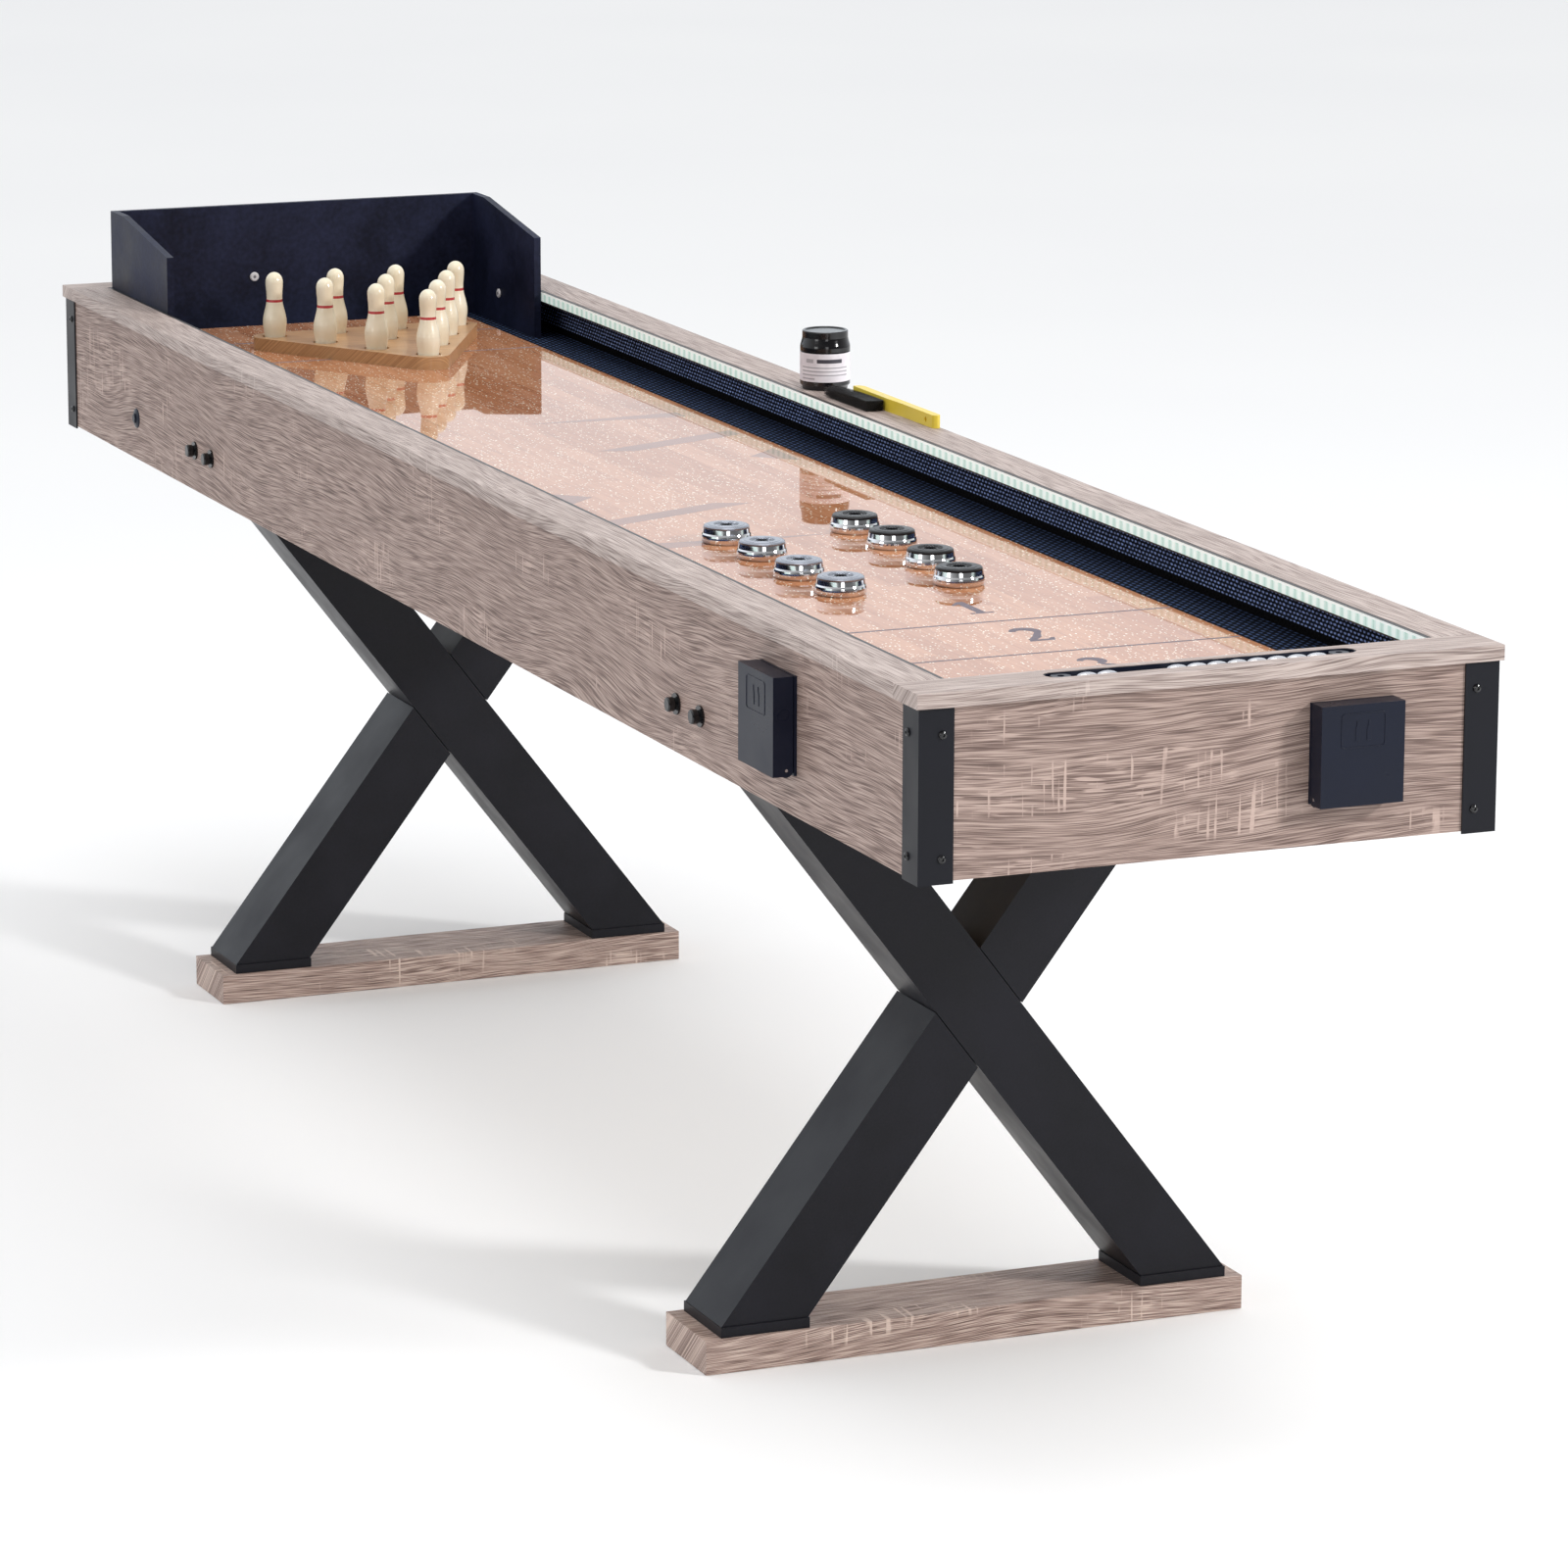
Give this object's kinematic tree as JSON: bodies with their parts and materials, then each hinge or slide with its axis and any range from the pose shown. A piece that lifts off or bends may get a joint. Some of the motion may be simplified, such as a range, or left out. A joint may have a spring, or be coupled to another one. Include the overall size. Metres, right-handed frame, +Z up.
{
  "type": "shuffleboard table",
  "caption": "Tabletop shuffleboard on crossed legs, with gutters, light strips, bead scorer, folding cup holders, pucks and a bowling pin set.",
  "frame": {"origin": "on the floor, midway between the two feet and under the middle of the table top", "axes": "+Y along the table from the scorer end to the bowling end, +Z up, +X to the right when looking along +Y"},
  "size_m": [0.6475, 2.762, 0.909],
  "materials": {
    "oak_laminate": "satin grey-brown weathered oak grain",
    "black_metal": "satin black powder coat",
    "raw_board": "unfinished board",
    "playfield_wood": "strip wood under a mirror-gloss clear coat",
    "carpet": "navy-black ribbed carpet",
    "black_plastic": "satin black moulding",
    "led_lens": "translucent mint light cover",
    "black_wood": "satin black laminate",
    "white_plastic": "glossy",
    "polished_steel": "polished",
    "bead_chrome": "polished",
    "puck_chrome": "polished",
    "pin_board_wood": "satin clear coat",
    "pin_plastic": "glossy cream with a red band",
    "can_plastic": "glossy black with a plain white band",
    "yellow_plastic": "smooth yellow",
    "bristle": "black bristles"
  },
  "bodies": {
    "table": {"apron_left": "oak_laminate", "apron_right": "oak_laminate", "apron_near": "oak_laminate", "apron_far": "oak_laminate", "rail_left": "oak_laminate", "rail_right": "oak_laminate", "rail_near": "oak_laminate", "rail_far": "oak_laminate", "corner_brackets": "black_metal", "bracket_screws": "black_metal", "deck_board": "raw_board", "cross_members": "raw_board", "playfield": "playfield_wood", "floor_carpets": "carpet", "wall_carpets": "carpet", "led_channels": "black_plastic", "led_lenses": "led_lens", "led_battery_box": "black_plastic", "led_switch_housing": "black_plastic", "long_beam_near": "black_wood", "short_beams_near": "black_wood", "long_beam_far": "black_wood", "short_beams_far": "black_wood", "leg_plinths": "black_wood", "leg_top_boards": "raw_board", "foot_board_near": "oak_laminate", "foot_board_far": "oak_laminate", "leg_bolts": "black_metal", "backboard_panel": "black_wood", "backboard_wing_left": "black_wood", "backboard_wing_right": "black_wood", "backboard_screws": "black_metal", "backboard_caps": "white_plastic", "scorer_tray": "black_plastic", "scorer_rod": "polished_steel", "cup_plate_side": "black_plastic", "cup_plate_end": "black_plastic", "cup_hinge_pins": "polished_steel"},
    "cup_cover_side": {"cup_cover_side": "black_plastic"},
    "cup_cover_end": {"cup_cover_end": "black_plastic"},
    "switch_button": {"led_switch_button": "black_plastic"},
    "beads_left": {"scorer_beads_left": "bead_chrome"},
    "beads_right": {"scorer_beads_right": "bead_chrome"},
    "puck_silver_1": {"puck_silver_1": "puck_chrome"},
    "puck_silver_2": {"puck_silver_2": "puck_chrome"},
    "puck_silver_3": {"puck_silver_3": "puck_chrome"},
    "puck_silver_4": {"puck_silver_4": "puck_chrome"},
    "puck_black_1": {"puck_black_1": "puck_chrome"},
    "puck_black_2": {"puck_black_2": "puck_chrome"},
    "puck_black_3": {"puck_black_3": "puck_chrome"},
    "puck_black_4": {"puck_black_4": "puck_chrome"},
    "pin_board": {"pin_board": "pin_board_wood"},
    "pin_row_1": {"pin_row_1": "pin_plastic"},
    "pin_row_2": {"pin_row_2": "pin_plastic"},
    "pin_row_3": {"pin_row_3": "pin_plastic"},
    "pin_row_4": {"pin_row_4": "pin_plastic"},
    "powder_can": {"powder_can": "can_plastic"},
    "powder_lid": {"powder_lid": "can_plastic"},
    "brush": {"brush_handle": "yellow_plastic", "brush_bristles": "bristle"}
  },
  "joints": [
    {"name": "cup_cover_side_fold", "type": "hinge", "parent": "table", "child": "cup_cover_side", "pos_m": [-0.311, -1.0315, 0.677], "axis": [0, -1, 0], "range_deg": [0, 90]},
    {"name": "cup_cover_end_fold", "type": "hinge", "parent": "table", "child": "cup_cover_end", "pos_m": [0.1455, -1.3765, 0.677], "axis": [1, 0, 0], "range_deg": [0, 90]},
    {"name": "light_switch_press", "type": "slide", "parent": "table", "child": "switch_button", "axis": [1, 0, 0], "range_m": [0, 0.002], "stiffness_N_per_m": 400},
    {"name": "score_left_slide", "type": "slide", "parent": "table", "child": "beads_left", "axis": [1, 0, 0], "range_m": [-0.006, 0.025]},
    {"name": "score_right_slide", "type": "slide", "parent": "table", "child": "beads_right", "axis": [1, 0, 0], "range_m": [-0.025, 0.002]},
    {"name": "puck_silver_1_slide", "type": "slide", "parent": "table", "child": "puck_silver_1", "axis": [0, 1, 0], "range_m": [0, 1.1]},
    {"name": "puck_silver_2_slide", "type": "slide", "parent": "table", "child": "puck_silver_2", "axis": [0, 1, 0], "range_m": [0, 0.038]},
    {"name": "puck_silver_3_slide", "type": "slide", "parent": "table", "child": "puck_silver_3", "axis": [0, 1, 0], "range_m": [0, 0.052]},
    {"name": "puck_silver_4_slide", "type": "slide", "parent": "table", "child": "puck_silver_4", "axis": [0, 1, 0], "range_m": [-0.44, 0.038]},
    {"name": "puck_black_1_slide", "type": "slide", "parent": "table", "child": "puck_black_1", "axis": [0, 1, 0], "range_m": [0, 1.1]},
    {"name": "puck_black_2_slide", "type": "slide", "parent": "table", "child": "puck_black_2", "axis": [0, 1, 0], "range_m": [0, 0.038]},
    {"name": "puck_black_3_slide", "type": "slide", "parent": "table", "child": "puck_black_3", "axis": [0, 1, 0], "range_m": [0, 0.052]},
    {"name": "puck_black_4_slide", "type": "slide", "parent": "table", "child": "puck_black_4", "axis": [0, 1, 0], "range_m": [-0.44, 0.038]},
    {"name": "pin_board_lift", "type": "slide", "parent": "table", "child": "pin_board", "axis": [0, 0, 1], "range_m": [0, 0.16]},
    {"name": "pin_row_1_lift", "type": "slide", "parent": "pin_board", "child": "pin_row_1", "axis": [0, 0, 1], "range_m": [0, 0.1]},
    {"name": "pin_row_2_lift", "type": "slide", "parent": "pin_board", "child": "pin_row_2", "axis": [0, 0, 1], "range_m": [0, 0.1]},
    {"name": "pin_row_3_lift", "type": "slide", "parent": "pin_board", "child": "pin_row_3", "axis": [0, 0, 1], "range_m": [0, 0.1]},
    {"name": "pin_row_4_lift", "type": "slide", "parent": "pin_board", "child": "pin_row_4", "axis": [0, 0, 1], "range_m": [0, 0.1]},
    {"name": "powder_can_lift", "type": "slide", "parent": "table", "child": "powder_can", "axis": [0, 0, 1], "range_m": [0, 0.1]},
    {"name": "powder_lid_lift", "type": "slide", "parent": "powder_can", "child": "powder_lid", "axis": [0, 0, 1], "range_m": [0, 0.05]},
    {"name": "brush_lift", "type": "slide", "parent": "table", "child": "brush", "axis": [0, 0, 1], "range_m": [0, 0.1]}
  ]
}
